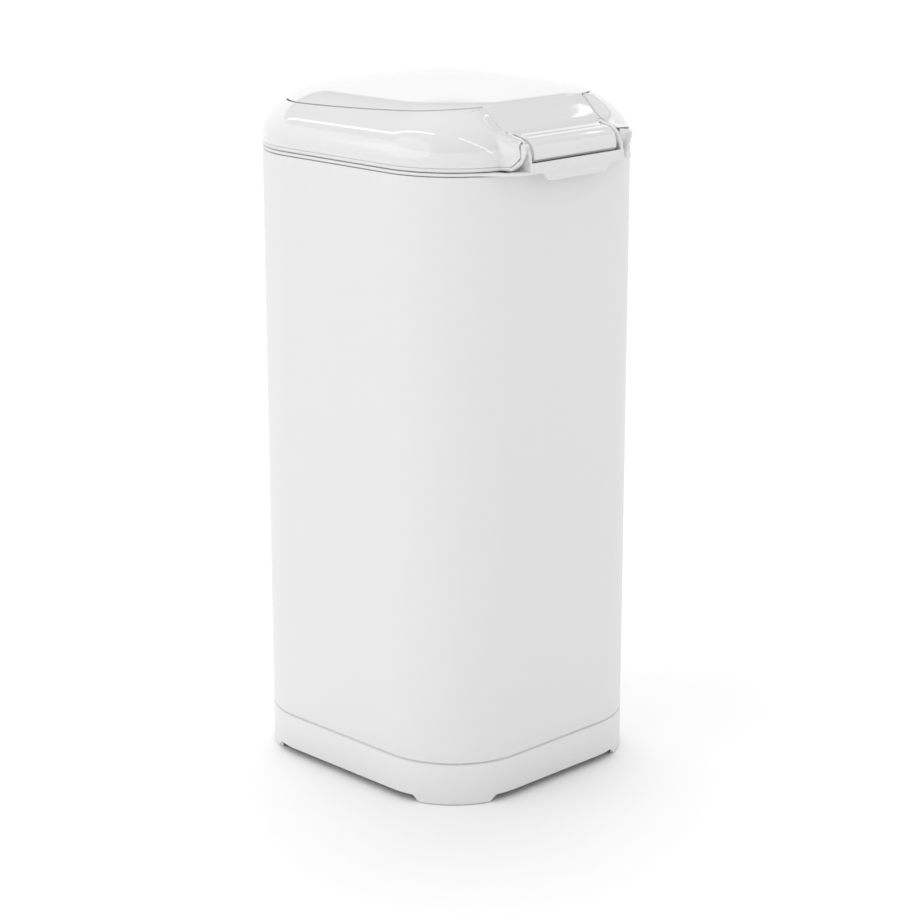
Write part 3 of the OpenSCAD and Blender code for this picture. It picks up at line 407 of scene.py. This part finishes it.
def gridNormals(points):
    # unit normals of a rows x cols x 3 grid from its differences both ways
    down = np.gradient(points, axis=0)
    across = np.gradient(points, axis=1)
    normal = np.cross(across, down)
    return normal / np.maximum(np.linalg.norm(normal, axis=-1, keepdims=True), 1e-12)


def softenedCopy(node, body, finish, bevel, sharpAngle=35, reshape=None):
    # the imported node's own shape, merged, with its edges rounded where a bevel width is given
    piece = bpy.data.objects.new(node + "_moulded", cad[node].data.copy())
    bpy.context.scene.collection.objects.link(piece)
    shape = bmesh.new()
    shape.from_mesh(piece.data)
    bmesh.ops.remove_doubles(shape, verts=shape.verts, dist=2e-6)
    bmesh.ops.dissolve_limit(shape, angle_limit=math.radians(0.5), verts=shape.verts, edges=shape.edges)
    # large many-sided faces are split, because the bevel can turn them over
    bmesh.ops.triangulate(shape, faces=[face for face in shape.faces if len(face.verts) > 4])
    shape.to_mesh(piece.data)
    shape.free()
    if reshape:
        points = np.empty(len(piece.data.vertices) * 3)
        piece.data.vertices.foreach_get("co", points)
        piece.data.vertices.foreach_set("co", (reshape(points.reshape(-1, 3) / mm) * mm).ravel())
    finishPiece(piece, body, [node], finish, bevel, sharpAngle)
    return piece


# ---- body shell ----

outlineSize = {"halfWidth": 123.0, "halfDepth": 133.0, "radius": 72.0}


def outline(arcSteps=44, sideSteps=8):
    # rounded rectangle: points on four quarter circles joined by straight runs, with outward normals
    w, d, r = outlineSize["halfWidth"], outlineSize["halfDepth"], outlineSize["radius"]
    points, normals = [], []
    for k, (sx, sy) in enumerate([(1, 1), (-1, 1), (-1, -1), (1, -1)]):
        angle = np.pi / 2 * (k + np.linspace(0, 1, arcSteps + 1))
        normal = np.stack([np.cos(angle), np.sin(angle)], axis=1)
        arc = np.array([sx * (w - r), sy * (d - r)]) + r * normal
        points.append(arc)
        normals.append(normal)
    loopPoints, loopNormals = [], []
    for k in range(4):
        loopPoints.append(points[k])
        loopNormals.append(normals[k])
        t = np.linspace(0, 1, sideSteps + 2)[1:-1, None]
        loopPoints.append(points[k][-1] * (1 - t) + points[(k + 1) % 4][0] * t)
        loopNormals.append(np.repeat(normals[k][-1:], sideSteps, axis=0))
    return np.concatenate(loopPoints), np.concatenate(loopNormals)


def sweepRound(profile):
    # each profile point (inset, height) carried round the outline: outline minus inset times normal
    points, normals = outline()
    profile = np.asarray(profile)
    flat = points[None] - profile[:, 0, None, None] * normals[None]
    high = np.broadcast_to(profile[:, 1, None, None], flat.shape[:2] + (1,))
    return np.concatenate([flat, high], axis=-1)


def quarter(centre, radius, start, steps=5):
    # quarter circle in (inset, height), anticlockwise from the start angle in degrees
    angle = np.radians(start + np.linspace(0, 90, steps + 1))
    return np.stack([centre[0] + radius * np.cos(angle), centre[1] + radius * np.sin(angle)], axis=1)


shell = {
    "foot": 36.65, "top": 519.6, "sheet": 1.2, "edge": 0.9, "hem": 5.0, "flange": 13.0, "bend": 1.0,
    "hemBevel": 0.3, "footBevel": 0.6,          # inside the sheet's two folds
}


def bodyShell():
    v = shell
    t, e, b = v["sheet"], v["edge"], v["bend"]
    hemIn, footIn = v["hemBevel"], v["footBevel"]
    # closed loop of the sheet's section: out at the foot, up the wall, in at the hem and back inside
    profile = np.concatenate([
        [[v["flange"], v["foot"]]], quarter((b, v["foot"] + b), b, 180)[::-1],
        np.stack([np.zeros(7), np.linspace(v["foot"] + 20, v["top"] - 20, 7)], axis=1),
        quarter((e, v["top"] - e), e, 90)[::-1],
        [[v["hem"], v["top"]], [v["hem"], v["top"] - t], [t + hemIn, v["top"] - t]],
        [[t, v["top"] - t - hemIn], [t, v["foot"] + t + footIn]],
        [[t + footIn, v["foot"] + t], [v["flange"], v["foot"] + t]],
    ])
    points = sweepRound(profile)
    rows, cols = points.shape[:2]
    return makePiece("bodyShell", points.reshape(-1, 3), gridFaces(rows, cols, True, True),
        "casing", ["body_shell"], "powderCoat")


# ---- lid ----

lid = {
    "halfWidth": 123.0, "halfDepth": 133.0, "cornerRadius": 72.0, "crown": 584.5,
    "domeRise": 24.0, "shoulderDrop": 27.5, "shoulderWidth": 37.0,
    "skirtFoot": 526.6, "wall": 2.2, "groove": 0.8,
    "panelHalf": 56.5, "slotHalf": 55.0, "slotAt": 0.66,
    "neckHalf": 50.6, "neckEnd": 0.77, "barrelHalf": 47.3,
    "rollRadius": 19.2, "rollAngles": (-36, -44),
    "valleyX": 69.8, "sweep": 17.4,
    "hingeY": 130.0, "hingeZ": 542.0,
}
panelCurve = np.array([[100, 568.6], [112, 557.0], [121, 548.8], [133, 547.6]])
barrelCurve = np.array([[133, 547.6], [140, 546.6], [146, 544.0], [146, 531.2]])

# the skirt's rear end beside the hinge: inset of the row, then x, y and z of its last point
skirtEnd = np.array([
    [0.00, 62.4, 145.40, 534.4], [0.30, 62.4, 145.60, 536.0], [0.70, 62.4, 145.60, 537.2],
    [1.10, 62.4, 145.35, 538.6], [1.70, 62.4, 144.90, 540.2], [2.60, 62.4, 144.50, 542.2],
    [3.60, 62.4, 144.70, 544.0], [4.50, 62.4, 145.60, 545.6], [4.62, 61.9, 145.40, 545.9],
    [5.10, 58.6, 142.70, 545.8], [5.70, 54.8, 139.70, 545.6], [6.30, 54.5, 134.90, 547.0],
    [6.90, 54.5, 131.00, 548.1],
])


def smooth(t):
    c = np.clip(t, 0, 1)
    return c * c * (3 - 2 * c)


def halfWidthAt(s):
    return lid["halfWidth"] - s


def halfDepthAt(s):
    return lid["halfDepth"] - s - (lid["halfDepth"] - lid["halfWidth"]) * (s / lid["halfWidth"]) ** 2


def cornerRadiusAt(s):
    t = s / lid["halfWidth"]
    k = lid["cornerRadius"] / lid["halfWidth"]
    return halfWidthAt(s) * (k - 0.35 * t + (1.35 - k) * t * t)


def lidHeight(s):
    # crown, less a dome that falls off towards the edge, less the shoulder's rounded drop
    t = 1 - np.clip(s / lid["halfWidth"], 0, 1)
    blunt = 0.1                                 # keeps the crown from coming to a point
    fall = ((t * t + blunt ** 2) ** 0.75 - blunt ** 1.5) / ((1 + blunt ** 2) ** 0.75 - blunt ** 1.5)
    edge = np.clip(s / lid["shoulderWidth"], 0, 1)
    return lid["crown"] - lid["domeRise"] * fall - lid["shoulderDrop"] * (1 - edge ** 0.6) ** 1.57


def grooveHeight(y):
    return lid["crown"] - 21.8 + 0.04 * y + 0.00018 * y * y


def contour(s, q, start):
    # rounded rectangle s inside the outline
    # q runs 0-1 along the rear edge, 1-2 rear corner, 2-3 side, 3-4 front corner, 4-5 front edge
    s, q, start = np.broadcast_arrays(s, q, start)
    a, b, r = halfWidthAt(s), halfDepthAt(s), cornerRadiusAt(s)
    cx, cy = a - r, b - r
    first = np.arcsin(np.clip((start - cx) / r, 0, 1))
    rearX = start * np.clip(q, 0, 1)
    rearTurn = np.arcsin(np.clip((rearX - cx) / r, 0, 1))
    cornerTurn = first + (np.pi / 2 - first) * np.clip(q - 1, 0, 1) ** 1.4
    frontTurn = np.pi / 2 * (1 + np.clip(q - 3, 0, 1))
    cases = [q <= 1, q <= 2, q <= 3, q <= 4]
    turn = np.select(cases, [rearTurn, cornerTurn, np.full_like(a, np.pi / 2), frontTurn], np.pi)
    x = np.select(cases, [rearX, cx + r * np.sin(cornerTurn), a, cx + r * np.sin(frontTurn)], cx * (5 - q))
    y = np.select(cases, [cy + r * np.cos(rearTurn), cy + r * np.cos(cornerTurn), cy * (1 - 2 * (q - 2)),
        r * np.cos(frontTurn) - cy], -b)
    return x, y, np.sin(turn), np.cos(turn)


def partingX(s):
    # where the skirt ends and the rear panel begins
    return lid["slotHalf"] + (lid["panelHalf"] - lid["slotHalf"]) * np.clip((s - 12) / 20, 0, 1)


def bezier(curve, t):
    t = np.asarray(t, dtype=float)[..., None]
    u = 1 - t
    return u ** 3 * curve[0] + 3 * u * u * t * curve[1] + 3 * u * t * t * curve[2] + t ** 3 * curve[3]


panelLine = bezier(panelCurve, np.linspace(0, 1, 200))


def dipAt(x, y, s):
    # lets the rear corners down onto the rear panel
    panel = np.interp(y, panelLine[:, 0], panelLine[:, 1])
    near = (1 - smooth((np.abs(x) - lid["slotHalf"]) / 26)) * smooth((s - 4) / 8)
    return np.where(y > panelCurve[0, 0], near * (lidHeight(s) - panel), 0)


def lidPoint(s, q, start):
    x, y, _, _ = contour(s, q, start)
    return np.stack([x, y, lidHeight(s + np.zeros_like(x)) - dipAt(x, y, s)], axis=-1)


def lidNormal(s, q, start):
    # the contour's normal tipped up by the slope of the height across it
    _, _, nx, ny = contour(s, q, start)
    slope = np.where(s < 0.05, 40, (lidHeight(s + 0.05) - lidHeight(np.maximum(s - 0.05, 0))) / 0.1)
    slope = slope + np.zeros_like(nx)
    normal = np.stack([nx * slope, ny * slope, np.ones_like(nx)], axis=-1)
    return normal / np.linalg.norm(normal, axis=-1, keepdims=True)


def grooveInset(q, shift):
    # inset at which each column meets the groove, by halving
    low, high = np.full_like(q, 5.0), np.full_like(q, 60.0)
    for _ in range(40):
        mid = (low + high) / 2
        _, y, _, _ = contour(mid, q, partingX(mid))
        under = lidHeight(mid) < grooveHeight(y) + shift
        low, high = np.where(under, mid, low), np.where(under, high, mid)
    return (low + high) / 2


def mirrored(points):
    # both halves of a rows x cols grid whose last column lies on the middle
    other = points[:, -2::-1] * np.array([-1, 1, 1])
    return np.concatenate([points, other], axis=1)


def closedShell(outer, wall, normals=None):
    # outer grid plus its copy moved in by the wall, joined round all four edges
    rows, cols = outer.shape[:2]
    normals = gridNormals(outer) if normals is None else normals
    inner = outer - wall * normals
    points = np.concatenate([outer.reshape(-1, 3), inner.reshape(-1, 3)])
    n = rows * cols
    top = gridFaces(rows, cols)
    below = top[:, ::-1] + n
    edge = np.concatenate([np.arange(cols), np.arange(1, rows) * cols + cols - 1,
        (rows - 1) * cols + np.arange(cols - 2, -1, -1), np.arange(rows - 2, 0, -1) * cols])
    after = np.roll(edge, -1)
    rim = np.stack([edge, edge + n, after + n, after], axis=1)
    return points, np.concatenate([top, below, rim])


def skirtColumns():
    rest = [np.linspace(1.3, 2, 40)[1:], np.linspace(2, 3, 30)[1:], np.linspace(3, 4, 46)[1:],
        np.linspace(4, 5, 14)[1:]]
    return np.concatenate([1 + np.linspace(0, 0.3, 61), *rest])


def flareShift(plain, start, target, softTarget):
    # how far each point of the rear moves to bring the row's end to its target
    # it is the end's shift times a smooth step of x, and nothing at the front
    reach = np.clip((lid["valleyX"] - plain[:, 0]) / (lid["valleyX"] - start), 0, 1)
    reach = np.where(plain[:, 1] > 0, reach, 0)
    shift = softTarget + (target - softTarget) * (reach ** 2)[:, None]
    return shift * smooth(reach)[:, None]


def lidSkirt():
    # rows of constant inset, whose ends are drawn out to the line that the skirt's rear end follows
    q = skirtColumns()
    top = grooveInset(q, -lid["groove"] / 2)
    last = skirtEnd[-1]
    insets = np.concatenate([np.linspace(0, 1, 12) ** 2 * 2.6, np.linspace(2.6, 4.5, 9)[1:],
        np.linspace(4.5, 6.9, 25)[1:], np.linspace(6.9, 9.0, 9)[1:]])
    clear = last[0] + 2.1                       # from this inset on the skirt runs along the rear panel

    def endOf(s):
        # the end line's point for an inset, and the shift that the plain surface needs to reach it
        along = partingX(s) + lid["groove"]
        blend = smooth((s - last[0]) / (clear - last[0]))
        x = np.interp(s, skirtEnd[:, 0], skirtEnd[:, 1]) * (1 - blend) + along * blend
        plain = lidPoint(np.array([s]), np.array([1.0]), np.array([x]))[0]
        y, z = (np.interp(s, skirtEnd[:, 0], skirtEnd[:, axis]) for axis in (2, 3))
        goal = np.array([x, y, z])
        return x, (goal - plain) * (1 - blend)

    fine = np.linspace(0, clear, 180)
    shifts = np.array([endOf(s)[1] for s in fine])
    width = 15
    padded = np.concatenate([np.repeat(shifts[:1], width, 0), shifts, np.repeat(shifts[-1:], width, 0)])
    window = np.hanning(2 * width + 1)
    soft = np.stack([np.convolve(padded[:, k], window / window.sum(), "valid") for k in range(3)], axis=1)
    softAt = lambda s: np.array([np.interp(s, fine, soft[:, k]) for k in range(3)])

    rows, normals = [], []
    startX, firstShift = endOf(0.0)
    for z in np.linspace(lid["skirtFoot"], lidHeight(np.array(0.0)), 8)[:-1]:
        plain = lidPoint(np.zeros_like(q), q, startX)
        point = plain + flareShift(plain, startX, firstShift, softAt(0.0))
        drop = np.clip(lid["sweep"] ** 2 - (point[:, 1] - lid["hingeY"]) ** 2, 0, None)
        foot = np.where(point[:, 1] > lid["hingeY"], lid["hingeZ"] - np.sqrt(drop), lid["skirtFoot"])
        foot = np.maximum(foot, lid["skirtFoot"])
        share = (z - lid["skirtFoot"]) / (lidHeight(np.array(0.0)) - lid["skirtFoot"])
        point[:, 2] = foot + (point[:, 2] - foot) * share
        rows.append(point)
        normal = lidNormal(np.zeros_like(q), q, startX)
        normal[:, 2] = 0
        normals.append(normal)
    for s in insets:
        x, shift = endOf(s)
        level = np.full_like(q, s)
        plain = lidPoint(level, q, x)
        rows.append(plain + flareShift(plain, x, shift, softAt(s)))
        normals.append(lidNormal(level, q, x))
    for w in np.linspace(0, 1, 26)[1:]:
        level = insets[-1] + (top - insets[-1]) * w
        x = partingX(level) + lid["groove"]
        rows.append(lidPoint(level, q, x))
        normals.append(lidNormal(level, q, x))
    flip = np.array([-1, 1, 1])
    outer = mirrored(np.array(rows))
    normals = np.array(normals)
    normals = np.concatenate([normals, normals[:, -2::-1] * flip], axis=1)
    points, faces = closedShell(outer, lid["wall"], normals)
    return makePiece("lidSkirt", points, faces, "lid", ["lid_skirt"], "glossMoulding", bevel=0.35)


def rearCurve(t):
    t = np.asarray(t, dtype=float)
    panel = bezier(panelCurve, np.minimum(t, 1))
    barrel = bezier(barrelCurve, np.maximum(t - 1, 0))
    return np.where((t < 1)[..., None], panel, barrel)


def lidCover():
    half, neck, wing = 14, 2, 3         # columns over the barrel's half, its neck and the panel's edge
    side = neck + wing
    barrel, panel = lid["barrelHalf"], lid["panelHalf"]
    middle = np.linspace(0, barrel, half + 1)
    beside = np.concatenate([np.linspace(barrel, lid["neckHalf"], neck + 1)[1:],
        np.linspace(lid["neckHalf"], panel, wing + 1)[1:]])
    rearQ = np.concatenate([middle, beside]) / panel
    q = np.concatenate([rearQ, np.linspace(1, 2, 50)[1:], np.linspace(2, 3, 30)[1:],
        np.linspace(3, 4, 46)[1:], np.linspace(4, 5, 14)[1:]])
    start = grooveInset(q, lid["groove"] / 2)
    begin = partingX(start)
    rings = []
    for w in np.concatenate([[0, 0.006, 0.013, 0.022], np.linspace(0.035, 1, 44)]):
        s = start + (lid["halfWidth"] - 0.6 - start) * w
        rings.append(lidPoint(s, q, begin * halfWidthAt(s) / halfWidthAt(start)))
    rings = np.array(rings)
    loopCols = 2 * len(q) - 2
    # full loop: +X half from the middle of the rear to the middle of the front, then back along the -X half
    loops = np.concatenate([rings, rings[:, -2:0:-1] * np.array([-1, 1, 1])], axis=1)
    crown = np.array([[0.0, 0.0, float(lidHeight(np.array(lid["halfWidth"])))]])

    t = np.concatenate([[0.012, 0.03, 0.055], np.linspace(0.085, lid["slotAt"], 17),
        np.linspace(lid["slotAt"], lid["neckEnd"], 4)[1:], np.linspace(lid["neckEnd"], 2, 42)[1:]])
    # the barrel's lower edge rolls in on a circle about the hinge
    roll = np.radians(np.linspace(*lid["rollAngles"], 4))
    rolled = np.stack([lid["hingeY"] + lid["rollRadius"] * np.cos(roll),
        lid["hingeZ"] + lid["rollRadius"] * np.sin(roll)], axis=1)
    line = np.concatenate([rearCurve(t), rolled])
    t = np.concatenate([t, 2 + np.arange(1, len(roll) + 1) * 0.01])
    edgeRow = np.concatenate([rings[0, half + side:0:-1] * np.array([-1, 1, 1]), rings[0, :half + side + 1]])
    fade = np.clip(1 - t / 0.3, 0, 1) ** 2
    wide = panel + (lid["slotHalf"] - panel) * np.clip(t / lid["slotAt"], 0, 1)
    wingShare = np.linspace(0, 1, wing + 1)[1:]
    rightX = np.concatenate([np.repeat(middle[None], len(t), 0), np.repeat(beside[None, :neck], len(t), 0),
        lid["neckHalf"] + (wide[:, None] - lid["neckHalf"]) * wingShare[None]], axis=1)
    allX = np.concatenate([-rightX[:, :0:-1], rightX], axis=1)
    strip = np.zeros(allX.shape + (3,))
    strip[..., 0] = allX
    for axis in (0, 1):
        offset = edgeRow[:, 1 + axis] - panelCurve[0, axis]
        strip[..., 1 + axis] = line[:, None, axis] + fade[:, None] * offset[None]
    across = 2 * (half + side) + 1

    rows = loops.shape[0]
    outer = np.concatenate([loops.reshape(-1, 3), crown, strip.reshape(-1, 3)])
    tip = rows * loopCols
    faces = [gridFaces(rows, loopCols, False, True)[:, ::-1]]
    stripIndex = tip + 1 + np.arange(len(t) * across).reshape(len(t), across)
    joinRow = np.concatenate([loopCols - np.arange(half + side, 0, -1), np.arange(half + side + 1)])
    index = np.concatenate([joinRow[None], stripIndex])
    quads = np.stack([index[:-1, :-1], index[:-1, 1:], index[1:, 1:], index[1:, :-1]], axis=-1)
    # below the slot only the neck and then the barrel go on
    keep = np.ones(quads.shape[:2], dtype=bool)
    for edge, cut in ((lid["slotAt"], wing), (lid["neckEnd"], side)):
        row = int(np.searchsorted(t, edge + 1e-6))
        keep[row:, :cut] = False
        keep[row:, -cut:] = False
    faces.append(quads[keep])
    quads = np.concatenate(faces)
    last = (rows - 1) * loopCols
    ring = np.arange(loopCols)
    fan = np.stack([last + ring, np.full(loopCols, tip), last + (ring + 1) % loopCols], axis=1)
    triangles = fan[:, [0, 2, 1]]
    return solidify("lidCover", outer, [*quads.tolist(), *triangles.tolist()], lid["wall"],
        "lid", ["lid_top_cover"], "glossMoulding", 0.45)


def solidify(name, points, faces, wall, body, replaced, finish, bevel):
    # an open sheet gets its wall from a Solidify modifier, and the bevel after it rounds the wall's edges
    mesh = bpy.data.meshes.new(name)
    mesh.from_pydata((np.asarray(points) * mm).tolist(), [], faces)
    piece = bpy.data.objects.new(name, mesh)
    bpy.context.scene.collection.objects.link(piece)
    shape = bmesh.new()
    shape.from_mesh(mesh)
    loose = [v for v in shape.verts if not v.link_faces]
    bmesh.ops.delete(shape, geom=loose, context="VERTS")
    bmesh.ops.recalc_face_normals(shape, faces=shape.faces)
    highest = max(shape.faces, key=lambda f: f.calc_center_median().z)
    if highest.normal.z < 0:
        bmesh.ops.reverse_faces(shape, faces=shape.faces)
    shape.to_mesh(mesh)
    shape.free()
    mesh.shade_smooth()
    thick = piece.modifiers.new("wall", "SOLIDIFY")
    thick.thickness = wall * mm
    thick.offset = -1
    edge = piece.modifiers.new("soft edges", "BEVEL")
    edge.width = bevel * mm
    edge.segments = 3
    edge.limit_method = "ANGLE"
    edge.angle_limit = math.radians(50)
    edge.use_clamp_overlap = False
    dress(piece, finish)
    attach(piece, body)
    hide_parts(*replaced)
    return piece


bodyShell()
lidSkirt()
lidCover()
print("shells ready")


# ---- mouldings and the pedal's spring ----

moulded = {
    # where the ears' tops are: x to either side, y, and the height they end below
    "earHalf": (50.9, 54.1), "earRear": (125, 137), "earTop": 550,
    "rimFoot": 524.0, "rimDrop": 0.4,
    "collarBevel": 0.4, "plinthBevel": 0.5, "padBevel": 0.5,
    "springY": 0.062, "springKept": 0.13,       # in metres, and the share of its height at the limit
}


def lowerEars(points):
    # the hinge ears' tops come down level with the barrel between them
    line = rearCurve(np.linspace(0, 1.6, 300))
    level = np.interp(points[:, 1], line[:, 0], line[:, 1])
    x, y, z = np.abs(points[:, 0]), points[:, 1], points[:, 2]
    (inner, outer), (front, rear) = moulded["earHalf"], moulded["earRear"]
    ear = (x > inner) & (x < outer) & (y > front) & (y < rear) & (z > level) & (z < moulded["earTop"])
    points[ear, 2] = level[ear]
    return points


def lowerRim(points):
    # the rim's lower edge comes down a little, to a finer gap above the collar
    points[np.abs(points[:, 2] - moulded["rimFoot"]) < 0.04, 2] -= moulded["rimDrop"]
    return points


softenedCopy("collar", "head", "satinMoulding", moulded["collarBevel"], reshape=lowerEars)
softenedCopy("lid_pan", "lid", "satinMoulding", None, reshape=lowerRim)
softenedCopy("base_plinth", "casing", "satinMoulding", moulded["plinthBevel"])
softenedCopy("pedal_pad", "pedal", "satinMoulding", moulded["padBevel"])
# the return spring, which is pressed flat against the deck as the lever's rear arm comes up, gets a mesh of
# its own
spring = softenedCopy("pedal_spring", "casing", "springWire", None)
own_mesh(spring)
print("mouldings ready")
